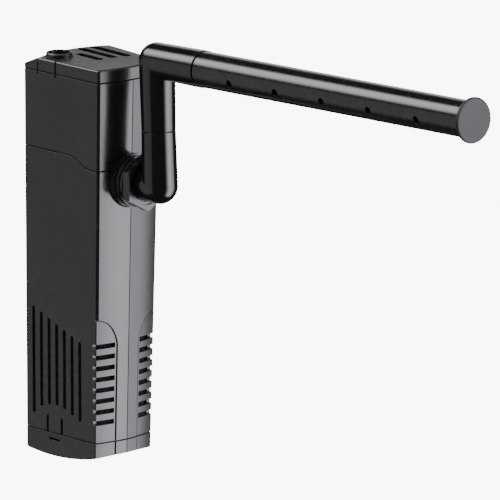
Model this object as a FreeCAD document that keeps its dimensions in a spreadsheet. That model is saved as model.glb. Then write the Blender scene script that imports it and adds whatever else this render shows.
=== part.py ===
import FreeCAD, Part
import math
import os
import Sketcher

# Internal aquarium power filter: a wedge-plan casing (pump head, media canister, top cover and
# bottom cap), a vertical-shaft magnet pump, and a swivelling outlet made of a hexagonal union nut,
# two elbows and a perforated spray bar.
# Pump frame: X right, Y to the back (towards the glass), Z up, zero at the middle of the casing's
# foot.  Every finished piece is then placed so that the zero of the part lies on the glass, at the
# centre of the upper suction cup.

os.makedirs("parts", exist_ok=True)
V = FreeCAD.Vector
Rot = FreeCAD.Rotation
Pl = FreeCAD.Placement

doc = FreeCAD.newDocument("InternalPowerFilter")
sheet = doc.addObject("Spreadsheet::Sheet", "Dims")

DIMS = [
    # casing, seen from above: a wedge that is wider at the back, with a shallow peak in front
    ("case_height", 178.0, "top face above the foot of the front corners"),
    ("front_half", 18.3, "half width at the front corners, at the top"),
    ("rear_half", 21.8, "half width at the back corners, at the top"),
    ("half_depth", 24.0, "front corner line and back wall, from the middle"),
    ("front_peak", 2.5, "front crease ahead of the corner line"),
    ("front_bulge", 82.3, "centre of each front wall's arc, behind the corner line"),
    ("side_taper", 1.9, "half width lost from the top to the foot"),
    ("front_taper", 2.9, "front wall set back from the top to the foot"),
    ("wall", 1.8, "casing wall"),
    ("corner_front_r", 1.6, "front corner radius"),
    ("corner_rear_r", 2.6, "back corner radius"),
    ("seam_gap", 0.12, "gap at the seams"),
    ("shadow_w", 0.6, "width of the shadow groove along each seam"),
    ("shadow_d", 1.0, "its depth"),
    ("pipe_gap", 0.55, "gap at the pipe seams"),
    ("crease_w", 0.35, "width of the fine line down the front crease"),
    ("crease_d", 0.2, "its depth"),
    # seams
    ("lid_seam", 171.8, "top cover seam"),
    ("head_seam_front", 132.4, "head to canister seam at the front"),
    ("head_seam_rear", 137.2, "head to canister seam at the back"),
    ("seam_s_front", -20.0, "front end of the seam's S bend"),
    ("seam_s_rear", -4.0, "back end of the seam's S bend"),
    ("cap_seam", 7.1, "bottom cap seam"),
    # top cover
    ("cover_top", 2.0, "top cover thickness"),
    ("cover_round", 1.0, "rounding along the top edges"),
    ("ramp_start", 18.5, "where the sloping back of the top cover starts"),
    ("ramp_angle", 21.8, "its slope"),
    ("ramp_crown_r", 112.0, "its crown radius"),
    ("vent_w", 4.3, "top slot width"),
    ("vent1_x", -2.0, "top slot positions"),
    ("vent2_x", 5.6, "top slot positions"),
    ("vent3_x", 12.3, "top slot positions"),
    ("tongue_front", 3.0, "release tongue slit, front"),
    ("tongue_rear", 14.2, "release tongue slit, back"),
    ("tongue_slit_w", 1.0, "front slit of the release tongue, width"),
    ("slit_w", 1.35, "latch slit width"),
    # flow knob, spindle and shutter
    ("knob_x", -12.0, "flow knob axis"),
    ("knob_y", 10.0, "flow knob axis"),
    ("knob_r_out", 5.85, "flow knob radius"),
    ("knob_hole_r", 6.15, "hole for it in the cover"),
    ("knob_top", 179.95, "top of the knob"),
    ("spindle_rad", 1.5, "spindle radius"),
    ("spindle_bore_r", 1.55, "spindle bearing radius"),
    # pump
    ("chamber_r", 12.2, "pump chamber radius"),
    ("chamber_wall_r", 13.8, "pump chamber outer radius"),
    ("chamber_low", 117.6, "chamber rim"),
    ("floor_low", 137.0, "head floor, underside"),
    ("floor_top", 140.0, "head floor, top"),
    ("well_r", 6.4, "rotor well radius"),
    ("well_wall_r", 7.6, "rotor well outer radius"),
    ("well_top", 168.0, "rotor well top"),
    ("rotor_r", 5.7, "rotor magnet radius"),
    ("rotor_low", 141.0, "rotor magnet, low end"),
    ("rotor_high", 162.5, "rotor magnet, high end"),
    ("shaft_r", 1.0, "shaft radius"),
    ("shaft_bore_r", 1.05, "rotor bore radius"),
    ("impeller_r", 10.6, "impeller radius"),
    ("blade_t", 1.2, "blade thickness"),
    ("blade_count", 6, "blades"),
    ("core_low", 147.0, "lamination stack, low"),
    ("core_high", 159.0, "lamination stack, high"),
    ("potting_top", 167.4, "resin level"),
    # outlet
    ("outlet_tilt", 2.5, "outlet axis rises towards the front"),
    ("outlet_z", 126.31, "outlet axis height at the front crease line"),
    ("crease_y", -26.5, "front crease line at the top"),
    ("boss_r", 12.0, "outlet boss radius"),
    ("notch_r", 12.3, "half round notch for it in the canister"),
    ("outlet_bore_r", 5.0, "outlet bore"),
    ("spigot_r", 9.4, "outlet spigot radius"),
    ("collar_r", 11.3, "ribbed collar radius"),
    ("nut_flats", 11.0, "half the size across flats of the union nut"),
    ("elbow_reach", 18.2, "riser axis ahead of the crease line"),
    ("riser_height", 56.4, "elbow centre to elbow centre"),
    ("elbow_split", 25.5, "seam between the elbows above the lower centre"),
    ("elbow_r", 8.0, "elbow radius at its corner"),
    ("elbow_neck_r", 7.6, "elbow radius at the seam"),
    ("socket_r", 6.2, "socket radius in the lower elbow"),
    ("plug_r", 6.12, "plug radius of the upper elbow"),
    ("elbow_bore_r", 4.9, "elbow bore"),
    ("sleeve_r", 8.35, "upper elbow radius at the bar"),
    ("sleeve_len", 31.5, "upper elbow centre to the bar"),
    ("bar_r", 8.0, "spray bar radius"),
    ("bar_bore_r", 6.5, "spray bar bore"),
    ("bar_plug_r", 6.42, "elbow plug in the bar"),
    ("bar_end", 200.8, "upper elbow centre to the bar's end"),
    ("jet_first", 55.9, "first jet from the elbow centre"),
    ("jet_pitch", 29.55, "jet pitch"),
    ("jet_r", 1.7, "jet radius"),
    ("jet_angle", 17.0, "jets point this far below level"),
    ("end_cap_r", 9.9, "end cap flange radius"),
    ("end_cap_t", 1.25, "end cap flange thickness"),
    # canister grille
    ("side_slot_w", 1.8, "side slot width"),
    ("side_slot_first", 17.6, "rearmost side slot"),
    ("side_slot_pitch", 4.83, "side slot pitch"),
    ("panel_depth", 0.35, "depth of the front panels"),
    ("panel_groove_w", 0.5, "width of the groove round each panel"),
    ("panel_groove_d", 0.5, "depth of that groove below the panel"),
    ("panel_edge", 6.0, "panel edge from the middle"),
    ("panel_straight", 52.0, "height where the panel edge starts to curve"),
    ("panel_top", 64.0, "top of the panel arch"),
    ("rung_first", 51.6, "top front slot"),
    ("rung_pitch", 5.05, "front slot pitch"),
    ("rung_h", 2.2, "front slot height"),
    ("rung_edge", 7.2, "front slots start this far from the middle"),
    ("latch_rear", 9.1, "latch slit, back"),
    ("latch_front", 0.2, "latch slit, front"),
    ("latch_top", 14.5, "latch slit, top"),
    # bottom cap
    ("foot_arc_r", 105.0, "radius of the curved foot"),
    ("foot_low", -3.8, "lowest line of the foot"),
    ("foot_low_y", 6.5, "where it lies"),
    # sponge and strainer
    ("sponge_low", 11.2, "sponge, low end"),
    ("sponge_high", 105.0, "sponge, high end"),
    ("strainer_r", 6.0, "strainer tube radius"),
    ("strainer_bore_r", 4.8, "strainer tube bore"),
    # suction cups
    ("glass_gap", 8.5, "back wall to the glass"),
    ("cup_r", 11.0, "suction cup radius"),
    ("cup_upper_z", 155.0, "upper cup height"),
    ("cup_lower_z", 40.0, "lower cup height"),
    ("cup_neck_r", 2.45, "suction cup neck radius"),
    ("holder_r", 6.6, "suction cup holder radius"),
    # cable entry
    ("gland_y", 12.0, "cable entry position"),
    ("gland_z", 160.0, "cable entry position"),
    ("gland_bore_r", 2.6, "cable entry bore"),
]


class Q:
    """A sheet value with its expression text, so that sizes stay bound to the sheet."""

    def __init__(self, text, val):
        self.text, self.val = text, float(val)

    @staticmethod
    def of(v):
        return v if isinstance(v, Q) else Q(repr(float(v)), v)

    def __add__(self, o):
        o = Q.of(o)
        return Q("(%s + %s)" % (self.text, o.text), self.val + o.val)

    def __radd__(self, o):
        return Q.of(o) + self

    def __sub__(self, o):
        o = Q.of(o)
        return Q("(%s - %s)" % (self.text, o.text), self.val - o.val)

    def __rsub__(self, o):
        return Q.of(o) - self

    def __mul__(self, o):
        o = Q.of(o)
        return Q("(%s * %s)" % (self.text, o.text), self.val * o.val)

    def __rmul__(self, o):
        return Q.of(o) * self

    def __truediv__(self, o):
        o = Q.of(o)
        return Q("(%s / %s)" % (self.text, o.text), self.val / o.val)

    def __neg__(self):
        return Q("(-1 * %s)" % self.text, -self.val)


D = {}
for row, (alias, value, note) in enumerate(DIMS, start=1):
    sheet.set("A%d" % row, alias)
    sheet.set("B%d" % row, repr(value))
    sheet.set("C%d" % row, note)
    sheet.setAlias("B%d" % row, alias)
    D[alias] = Q("Dims." + alias, value)
doc.recompute()


def bind(obj, prop, q):
    q = Q.of(q)
    if "." not in prop:
        setattr(obj, prop, q.val)
    obj.setExpression(prop, q.text)


def at(obj, x, y, z, rot=None):
    """Placement bound to the sheet."""
    qs = [Q.of(x), Q.of(y), Q.of(z)]
    obj.Placement = Pl(V(*[q.val for q in qs]), rot or Rot())
    for k, q in zip("xyz", qs):
        obj.setExpression("Placement.Base." + k, q.text)


RX = {"X": Rot(V(0, 1, 0), 90), "Y": Rot(V(1, 0, 0), -90), "Z": Rot(), "-Y": Rot(V(1, 0, 0), 90), "-X": Rot(V(0, 1, 0), -90)}
PLANES = {"XY": Rot(), "XZ": Rot(V(1, 0, 0), 90), "YZ": Rot(V(1, 1, 1), 120)}
serial = [0]


def uid(stem):
    serial[0] += 1
    return "%s_%03d" % (stem, serial[0])


def cyl(r, length, x, y, z, axis="Z", name="cyl", rot=None):
    c = doc.addObject("Part::Cylinder", uid(name))
    bind(c, "Radius", r)
    bind(c, "Height", length)
    at(c, x, y, z, rot or RX[axis])
    return c


def cone(r1, r2, length, x, y, z, axis="Z", name="cone"):
    c = doc.addObject("Part::Cone", uid(name))
    bind(c, "Radius1", r1)
    bind(c, "Radius2", r2)
    bind(c, "Height", length)
    at(c, x, y, z, RX[axis])
    return c


def box(x0, x1, y0, y1, z0, z1, name="box"):
    b = doc.addObject("Part::Box", uid(name))
    x0, x1, y0, y1, z0, z1 = [Q.of(v) for v in (x0, x1, y0, y1, z0, z1)]
    bind(b, "Length", x1 - x0)
    bind(b, "Width", y1 - y0)
    bind(b, "Height", z1 - z0)
    at(b, x0, y0, z0)
    return b


def fuse(*shapes, name="join"):
    f = doc.addObject("Part::MultiFuse", uid(name))
    f.Shapes = list(shapes)
    f.Refine = True
    return f


def cut(base, *tools, name="cut"):
    tool = tools[0] if len(tools) == 1 else compound(*tools)
    c = doc.addObject("Part::Cut", uid(name))
    c.Base, c.Tool = base, tool
    return c


def compound(*shapes, name="tools"):
    f = doc.addObject("Part::MultiFuse", uid(name))
    f.Shapes = list(shapes)
    return f


def common(a, b, name="common"):
    c = doc.addObject("Part::MultiCommon", uid(name))
    c.Shapes = [a, b]
    return c


def add_outline(sk, pts, tag, arcs=None):
    """Closed outline; arcs maps a side's number to (centre x, centre y, clockwise)."""
    arcs = arcs or {}
    n = len(pts)
    start = sk.GeometryCount
    qs = [(Q.of(a), Q.of(b)) for a, b in pts]
    for i in range(n):
        a, b = qs[i], qs[(i + 1) % n]
        pa, pb = V(a[0].val, a[1].val, 0), V(b[0].val, b[1].val, 0)
        if i in arcs:
            cx, cy, clockwise = arcs[i]
            c = V(Q.of(cx).val, Q.of(cy).val, 0)
            rad = (pa - c).Length
            t0 = math.atan2(pa.y - c.y, pa.x - c.x)
            t1 = math.atan2(pb.y - c.y, pb.x - c.x)
            if clockwise:
                t0, t1 = t1, t0
            if t1 < t0:
                t1 += 2 * math.pi
            sk.addGeometry(Part.ArcOfCircle(Part.Circle(c, V(0, 0, 1), rad), t0, t1), False)
        else:
            sk.addGeometry(Part.LineSegment(pa, pb), False)

    def ends(i):
        # (start vertex code, end vertex code) of side i in outline order
        if i in arcs and arcs[i][2]:
            return 2, 1
        return 1, 2

    for i in range(n):
        j = (i + 1) % n
        sk.addConstraint(Sketcher.Constraint("Coincident", start + i, ends(i)[1], start + j, ends(j)[0]))
    for i, (qx, qy) in enumerate(qs):
        for kind, q, k in (("DistanceX", qx, "x"), ("DistanceY", qy, "y")):
            c = sk.addConstraint(Sketcher.Constraint(kind, -1, 1, start + i, ends(i)[0], q.val))
            name = "%s%s%d" % (tag, k, i)
            sk.renameConstraint(c, name)
            if "Dims." in q.text:
                sk.setExpression("Constraints." + name, q.text)
    for i, (cx, cy, clockwise) in arcs.items():
        # the two ends fix the chord; the centre's height fixes the bulge
        chord = qs[(i + 1) % n][0].val - qs[i][0].val, qs[(i + 1) % n][1].val - qs[i][1].val
        if abs(chord[0]) >= abs(chord[1]):
            kind, q, k = "DistanceY", Q.of(cy), "c"
        else:
            kind, q, k = "DistanceX", Q.of(cx), "c"
        c = sk.addConstraint(Sketcher.Constraint(kind, -1, 1, start + i, 3, q.val))
        name = "%s%s%d" % (tag, k, i)
        sk.renameConstraint(c, name)
        if "Dims." in q.text:
            sk.setExpression("Constraints." + name, q.text)


def sketch(plane, x, y, z, outlines, name="outline", rot=None):
    sk = doc.addObject("Sketcher::SketchObject", uid(name))
    at(sk, x, y, z, rot or PLANES[plane])
    for n, o in enumerate(outlines):
        pts, arcs = (o if isinstance(o, tuple) else (o, None))
        add_outline(sk, pts, "abcdefghijklmnopqrstuvwxyz"[n], arcs)
    return sk


def extrude(sk, fwd, rev=0.0, name="extrusion"):
    e = doc.addObject("Part::Extrusion", uid(name))
    e.Base = sk
    e.DirMode = "Normal"
    e.Solid = True
    bind(e, "LengthFwd", fwd)
    bind(e, "LengthRev", rev)
    return e


H = D["case_height"]


def level(z):
    """0 at the top of the casing, 1 at its foot."""
    return (H - z) / H


def plan(z, inset=0.0):
    """The casing's outline at height z, moved in by inset."""
    z, inset = Q.of(z), Q.of(inset)
    k = level(z)
    hf = D["front_half"] - D["side_taper"] * k - inset
    hr = D["rear_half"] - D["side_taper"] * k - inset
    fy = D["front_taper"] * k - D["half_depth"] + inset
    ry = D["half_depth"] - inset
    pk = D["front_peak"] * hf / (D["front_half"] - inset)
    c = D["front_bulge"] - inset
    cx = (2 * c.val * pk.val + pk.val ** 2 - hf.val ** 2) / (2 * hf.val)
    pts = [(-hf, fy), (Q.of(0.0), fy - pk), (hf, fy), (hr, ry), (-hr, ry)]
    return pts, {0: (cx, fy + c, False), 1: (-cx, fy + c, False)}


def shell(z0, z1, inset=0.0, rounded=True, name="casing"):
    s0 = sketch("XY", 0, 0, z0, [plan(z0, inset)], name=name + "_low")
    s1 = sketch("XY", 0, 0, z1, [plan(z1, inset)], name=name + "_high")
    lo = doc.addObject("Part::Loft", uid(name))
    lo.Sections = [s0, s1]
    lo.Solid, lo.Ruled = True, True
    if not rounded:
        return lo
    doc.recompute()
    fl = doc.addObject("Part::Fillet", uid(name + "_rounded"))
    fl.Base = lo
    edges = []
    for i, e in enumerate(lo.Shape.Edges, start=1):
        a, b = e.Vertexes[0].Point, e.Vertexes[-1].Point
        if abs(a.z - b.z) > 0.9 * abs(Q.of(z1).val - Q.of(z0).val) and abs(a.x) > 5:
            r = D["corner_front_r"].val if a.y < 0 else D["corner_rear_r"].val
            r = max(0.3, r - Q.of(inset).val * 0.5)
            edges.append((i, r, r))
    fl.Edges = edges
    return fl


def outside(tool, z0, z1, depth, name):
    """What is left of tool outside the casing's skin of the given depth."""
    return cut(tool, shell(z0, z1, inset=depth, rounded=False, name=name))


def crease_line(z0, z1, name):
    strip = box(-D["crease_w"] / 2, D["crease_w"] / 2, -40, -20, z0, z1, name=name)
    return outside(strip, z0 - 1, z1 + 1, D["crease_d"], name + "_skin")


def body(name):
    b = doc.addObject("PartDesign::Body", uid(name))
    return b


def origin_plane(b, role):
    return [o for o in b.Origin.OriginFeatures if o.Role == role][0]


def body_sketch(b, role, outlines, offset=None, name="profile"):
    sk = b.newObject("Sketcher::SketchObject", uid(name))
    sk.AttachmentSupport = [(origin_plane(b, role), "")]
    sk.MapMode = "FlatFace"
    if offset is not None:
        q = Q.of(offset)
        sk.AttachmentOffset = Pl(V(0, 0, q.val), Rot())
        sk.setExpression("AttachmentOffset.Base.z", q.text)
    for n, o in enumerate(outlines):
        pts, arcs = (o if isinstance(o, tuple) else (o, None))
        add_outline(sk, pts, "abcdefghijklmnopqrstuvwxyz"[n], arcs)
    return sk


def turned(name, profile, arcs=None):
    """A turned piece: profile of (radius, height) about the body's own Z."""
    b = body(name)
    sk = body_sketch(b, "XZ_Plane", [(profile, arcs)])
    r = b.newObject("PartDesign::Revolution", uid("turn"))
    r.Profile = sk
    r.ReferenceAxis = (sk, ["V_Axis"])
    r.Angle = 360
    b.Tip = r
    return b


finished = []
OFF = (Q.of(0.0), -(D["half_depth"] + D["glass_gap"]), -D["cup_upper_z"])
TILT = D["outlet_tilt"]


def finish(obj, label):
    """A piece modelled in the pump frame."""
    obj.Label = label
    at(obj, *OFF)
    finished.append((label, obj))


def finish_at(obj, label, x, y, z, rot=None, angle=None):
    """A piece modelled about its own zero, which lies at x, y, z of the pump frame."""
    obj.Label = label
    at(obj, OFF[0] + x, OFF[1] + y, OFF[2] + z, rot)
    if angle is not None:
        bind(obj, "Placement.Rotation.Angle", angle)
    finished.append((label, obj))


tilt = math.radians(TILT.val)
CT, ST = math.cos(tilt), math.sin(tilt)
QCT, QST = Q("cos(Dims.outlet_tilt * 1deg)", CT), Q("sin(Dims.outlet_tilt * 1deg)", ST)


def on_outlet(dist):
    """Point on the outlet axis, dist ahead of the crease line."""
    d = Q.of(dist)
    return Q.of(0.0), D["crease_y"] - d * QCT, D["outlet_z"] + d * QST


E1 = on_outlet(D["elbow_reach"] / QCT)
E2 = (Q.of(0.0), E1[1] + D["riser_height"] * QST, E1[2] + D["riser_height"] * QCT)
AXIS_OUT = Rot(V(1, 0, 0), 90 - TILT.val)   # local Z onto the outlet axis, pointing forwards
GROUP = Rot(V(1, 0, 0), -TILT.val)          # the elbows' own frame: -Y forwards, Z up the riser


def outlet_cyl(r, s0, s1, name="outlet"):
    s0, s1 = Q.of(s0), Q.of(s1)
    x, y, z = on_outlet(s0)
    return cyl(r, s1 - s0, x, y, z, rot=AXIS_OUT, name=name)


# ---------------------------------------------------------------- top cover
seam = D["lid_seam"]
w = D["wall"]
cover = shell(seam, H, name="cover")
doc.recompute()
bev = doc.addObject("Part::Fillet", uid("cover_round"))
bev.Base = cover
top_edges = []
for i, e in enumerate(cover.Shape.Edges, start=1):
    zs = [v.Point.z for v in e.Vertexes]
    if min(zs) > H.val - 0.01:
        c = e.CenterOfMass
        if c.y < D["half_depth"].val - 3.5:
            top_edges.append((i, D["cover_round"].val, D["cover_round"].val))
bev.Edges = top_edges
# sloping, slightly crowned back
ang = D["ramp_angle"].val
R = D["ramp_crown_r"]
half = 30.0
drop = R.val - math.sqrt(R.val ** 2 - half ** 2)
ramp_sk = doc.addObject("Sketcher::SketchObject", uid("ramp"))
at(ramp_sk, 0, D["ramp_start"], H, Rot(V(1, 0, 0), 90 - ang))
add_outline(ramp_sk, [(-half, -drop), (half, -drop), (half, 30.0), (-half, 30.0)], "r", {0: (0.0, -R, True)})
ramp = extrude(ramp_sk, 30.0, 30.0, "ramp")
hollow1 = shell(seam, seam + 1.6, inset=w, rounded=False, name="cover_hollow")
vents = []
for vx, y0, y1 in ((D["vent1_x"], -7.6, 8.8), (D["vent2_x"], -8.0, 17.2), (D["vent3_x"], -9.6, 16.4)):
    r = D["vent_w"] / 2
    sk = sketch("XY", 0, 0, H - 4, [([(vx - r, y0 + r), (vx + r, y0 + r), (vx + r, y1 - r), (vx - r, y1 - r)],
                                     {0: (vx, y0 + r, False), 2: (vx, y1 - r, False)})], name="vent")
    vents.append(extrude(sk, 10.0, name="vent"))
slits = [box(-30, -18.0, D["tongue_rear"] - 0.35, D["tongue_rear"] + 0.35, seam - 1, seam + 4.3),
         box(-30, -17.6, D["tongue_front"] - D["tongue_slit_w"] / 2, D["tongue_front"] + D["tongue_slit_w"] / 2, seam - 1, H + 2)]
lip = cut(shell(seam - 2.5, seam + 1.7, inset=w + 0.15, rounded=False, name="lip"),
          shell(seam - 3.0, seam + 1.6, inset=w + 1.4, rounded=False, name="lip_hollow"),
          box(-30, 30, -30, -21.0, seam - 4, seam - 0.01), box(-30, -14, 2.0, 15.2, seam - 4, seam - 0.01))
hollow2 = box(-14.5, 14.5, -19.0, 14.0, seam + 1.0, H - D["cover_top"])
hollow3 = box(-14.5, 14.5, 13.9, 19.5, seam + 1.0, H - D["cover_top"] - 0.8)
knob_hole = cyl(D["knob_hole_r"], 20, D["knob_x"], D["knob_y"], seam - 5)
mark = cyl(0.55, 0.4, D["knob_x"] - 4.2, D["knob_y"] + 7.6, H - 0.1)
lid_shadow = outside(box(-40, 40, -40, 40, seam - 1, seam + D["shadow_w"]), seam - 2, seam + 3, D["shadow_d"], "lid_shadow")
top_cover = cut(fuse(cut(bev, ramp, hollow1, lid_shadow), lip), hollow2, hollow3, *vents, *slits, knob_hole, name="top_cover_cut")
top_cover = fuse(top_cover, cut(mark, ramp), name="top_cover")
finish(top_cover, "top_cover")

# ---------------------------------------------------------------- seam between head and canister
sf, sr = D["seam_s_front"], D["seam_s_rear"]
zf, zr = D["head_seam_front"], D["head_seam_rear"]
dy, dz = sr.val - sf.val, zr.val - zf.val
s_rad = (dy ** 2 + dz ** 2) / (4 * dz)


def seam_outline(gap, top):
    """Profile in the YZ plane: the region above (top) or below the S shaped seam."""
    far = 60.0 if top else -60.0
    zfg, zrg = zf + gap, zr + gap
    mid = ((sf + sr) / 2, (zfg + zrg) / 2)
    pts = [(-40.0, zfg), (sf, zfg), mid, (sr, zrg), (40.0, zrg), (40.0, zrg + far), (-40.0, zfg + far)]
    return pts, {1: (sf, zfg + s_rad, False), 2: (sr, zrg - s_rad, True)}


# ---------------------------------------------------------------- pump head
case = cut(shell(118.0, seam, name="head"), shell(117.0, seam + 1, inset=w, rounded=False, name="head_hollow"))
below = extrude(sketch("YZ", 0, 0, 0, [seam_outline(0.0, False)], name="below_seam"), 40.0, 40.0)
case = cut(case, below, crease_line(119.0, seam + 0.5, "head_crease"))
floor = shell(D["floor_low"] + 1.4, D["floor_top"], inset=1.0, rounded=False, name="head_floor")
skirt = cut(shell(129.5, 139.0, inset=w + 0.15, rounded=False, name="skirt"),
            shell(129.0, 138.4, inset=w + 1.4, rounded=False, name="skirt_hollow"))
chamber = cyl(D["chamber_wall_r"], D["floor_top"] - D["chamber_low"], 0, 0, D["chamber_low"], name="chamber")
well = cyl(D["well_wall_r"], D["well_top"] - D["floor_low"], 0, 0, D["floor_low"], name="well")
spindle_tube = cyl(3.0, 29.0, D["knob_x"], D["knob_y"], 139.0, name="spindle_tube")
duct = outlet_cyl(6.6, -15.5, -1.0, "duct")
boss = outlet_cyl(D["boss_r"], -4.2, 1.0, "boss")
spigot = outlet_cyl(D["spigot_r"], 0.0, 8.0, "spigot")
holder = cyl(D["holder_r"], 4.7, 0, D["half_depth"] - 1.5, D["cup_upper_z"], "Y", name="cup_holder")
gland_seat = cyl(6.0, 4.2, 17.6, D["gland_y"], D["gland_z"], "X", name="gland_seat")
head = fuse(case, floor, skirt, chamber, well, spindle_tube, duct, boss, spigot, holder, gland_seat)
head_cuts = [
    cyl(D["chamber_r"], D["floor_low"] - D["chamber_low"] + 1, 0, 0, D["chamber_low"] - 1, name="chamber_bore"),
    cyl(D["well_r"], D["well_top"] - 1.2 - D["floor_low"] + 2, 0, 0, D["floor_low"] - 2, name="well_bore"),
    cyl(D["spindle_bore_r"], 35, D["knob_x"], D["knob_y"], 136.0, name="spindle_bore"),
    outlet_cyl(D["outlet_bore_r"], -17.5, 9.0, "outlet_bore"),
    cyl(D["cup_neck_r"] + 0.05, 6.0, 0, D["half_depth"] - 0.6, D["cup_upper_z"], "Y", name="cup_neck_hole"),
    cyl(3.8, 1.9, 0, D["half_depth"] - 0.6, D["cup_upper_z"], "Y", name="cup_button_hole"),
    cyl(4.05, 12.0, 12.0, D["gland_y"], D["gland_z"], "X", name="gland_hole"),
    # the slits of the release tongue run on as short grooves in the head's wall
    box(-30, -19.4, D["tongue_front"] - D["tongue_slit_w"] / 2, D["tongue_front"] + D["tongue_slit_w"] / 2, seam - 1.5, seam + 0.5),
    box(-30, -20.2, D["tongue_rear"] - 0.35, D["tongue_rear"] + 0.35, seam - 1.2, seam + 0.5),
]
head = cut(head, *head_cuts, name="pump_head")
finish(head, "pump_head")

# ---------------------------------------------------------------- canister
cseam = D["cap_seam"]
can = shell(cseam, 141.0, name="canister_outer")
can_hollow = shell(cseam - 1, 142.0, inset=w, rounded=False, name="canister_hollow")
above = extrude(sketch("YZ", 0, 0, 0, [seam_outline(-D["seam_gap"], True)], name="above_seam"), 40.0, 40.0)
notch_round = outlet_cyl(D["notch_r"], -9.0, 12.0, "notch")
notch_slot = box(-D["notch_r"], D["notch_r"], -40, -14.0, D["outlet_z"], 150.0)
pe, ps, pt = D["panel_edge"], D["panel_straight"], D["panel_top"]


def arc_centre(p, q, bulge):
    """Centre of an arc through p and q with the given height over its chord."""
    mx, my = (p[0] + q[0]) / 2, (p[1] + q[1]) / 2
    dx, dyy = q[0] - p[0], q[1] - p[1]
    c = math.hypot(dx, dyy)
    r = (c * c / 4 + bulge * bulge) / (2 * bulge)
    nx, ny = dyy / c, -dx / c
    return mx + nx * (r - bulge), my + ny * (r - bulge)


def panel_outline(sign, low, inner=0.0):
    """The arch shaped panel, or the same moved in by inner."""
    pev, psv, ptv = pe.val, ps.val, pt.val
    p1, p2, p3 = (pev + inner, psv), (pev + 3.4 + 0.8 * inner, psv + 8.1 - 0.6 * inner), (pev + 11.2, ptv - inner)
    c1 = arc_centre(p1, p2, 0.55)
    c2 = arc_centre(p2, p3, 0.95)
    pts = [((pe + inner) * sign, low), ((pe + inner) * sign, ps), ((pe + 3.4 + 0.8 * inner) * sign, ps + 8.1 - 0.6 * inner),
           ((pe + 11.2) * sign, pt - inner), (30.0 * sign, pt - inner), (30.0 * sign, low)]
    return pts, {1: (c1[0] * sign, c1[1], sign > 0), 2: (c2[0] * sign, c2[1], sign > 0)}


def front_recess(z0, z1, name):
    """The two panels let into the front, and the groove round each."""
    def casing_behind(depth, part):
        core = shell(z0 - 2, z1 + 2, inset=0.0, rounded=False, name=name + part)
        at(core, 0, depth, 0)
        return core

    def prism(inner, z, y, part):
        return extrude(sketch("XZ", 0, y, 0, [panel_outline(-1, z, inner), panel_outline(1, z, inner)], name=name + part), 30.0)

    side = box(-40, 40, -40, -19.6, z0 - 3, z1 + 3)
    side2 = box(-40, 40, -40, -19.6, z0 - 3, z1 + 3)
    panels = cut(common(prism(0.0, z0 - 1, -14.0, "_panels"), side), casing_behind(D["panel_depth"], "_core"))
    ring = cut(prism(0.0, z0 - 1, -14.0, "_outer"), prism(D["panel_groove_w"].val, z0 - 1.5, -13.0, "_inner"))
    groove = cut(common(ring, side2), casing_behind(D["panel_depth"] + D["panel_groove_d"], "_core2"))
    return [panels, groove]


recess = front_recess(cseam, 70.0, "canister")
can_shadow = outside(extrude(sketch("YZ", 0, 0, 0, [seam_outline(-D["shadow_w"], True)], name="above_shadow"), 40.0, 40.0),
                     120.0, 150.0, D["shadow_d"], "canister_shadow")
rungs = []
for sign in (-1, 1):
    for i in range(8):
        zc = D["rung_first"] - D["rung_pitch"] * i
        zlo, zhi = zc - D["rung_h"] / 2, zc + D["rung_h"] / 2
        x0, x1 = (-30.0, -D["rung_edge"]) if sign < 0 else (D["rung_edge"], 30.0)
        rungs.append([(x0, zlo), (x1, zlo), (x1, zhi), (x0, zhi)])
rung_tool = extrude(sketch("XZ", 0, -19.6, 0, rungs, name="front_slots"), 20.0, 0.0)
tops = [63.6, 61.7, 59.7, 57.7, 55.8, 54.0, 52.2]
lows = [14.1, 17.7, 19.3, 19.8, 19.1, 17.1, 15.1]
side_slots = []
for i in range(7):
    yc = D["side_slot_first"] - D["side_slot_pitch"] * i
    hw2 = D["side_slot_w"] / 2
    side_slots.append(([(yc - hw2, lows[i] + hw2), (yc + hw2, lows[i] + hw2), (yc + hw2, tops[i] - hw2), (yc - hw2, tops[i] - hw2)],
                       {0: (yc, lows[i] + hw2, False), 2: (yc, tops[i] - hw2, False)}))
side_tool = extrude(sketch("YZ", 0, 0, 0, side_slots, name="side_slots"), 40.0, 40.0)
latch_slits = [box(-30, -12, yy - D["slit_w"] / 2, yy + D["slit_w"] / 2, cseam - 1, D["latch_top"]) for yy in (D["latch_rear"], D["latch_front"])]
low_holder = cyl(D["holder_r"], 4.7, 0, D["half_depth"] - 1.5, D["cup_lower_z"], "Y", name="cup_holder")
low_holes = [cyl(D["cup_neck_r"] + 0.05, 6.0, 0, D["half_depth"] - 0.6, D["cup_lower_z"], "Y", name="cup_neck_hole"),
             cyl(3.8, 1.9, 0, D["half_depth"] - 0.6, D["cup_lower_z"], "Y", name="cup_button_hole")]
finger = box(-15.6, -14.3, D["latch_front"] + 1.0, D["latch_rear"] - 1.0, 2.6, cseam + 3.0, name="latch_finger")
finger_root = box(-17.4, -14.3, D["latch_front"] + 1.0, D["latch_rear"] - 1.0, cseam + 0.1, cseam + 3.0, name="latch_root")
canister = cut(cut(can, can_hollow), above, can_shadow, crease_line(cseam - 1, 141.5, "canister_crease"), notch_round, notch_slot,
               *recess, rung_tool, side_tool, *latch_slits)
canister = cut(fuse(canister, low_holder, finger, finger_root), *low_holes, name="canister")
finish(canister, "canister")

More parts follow.
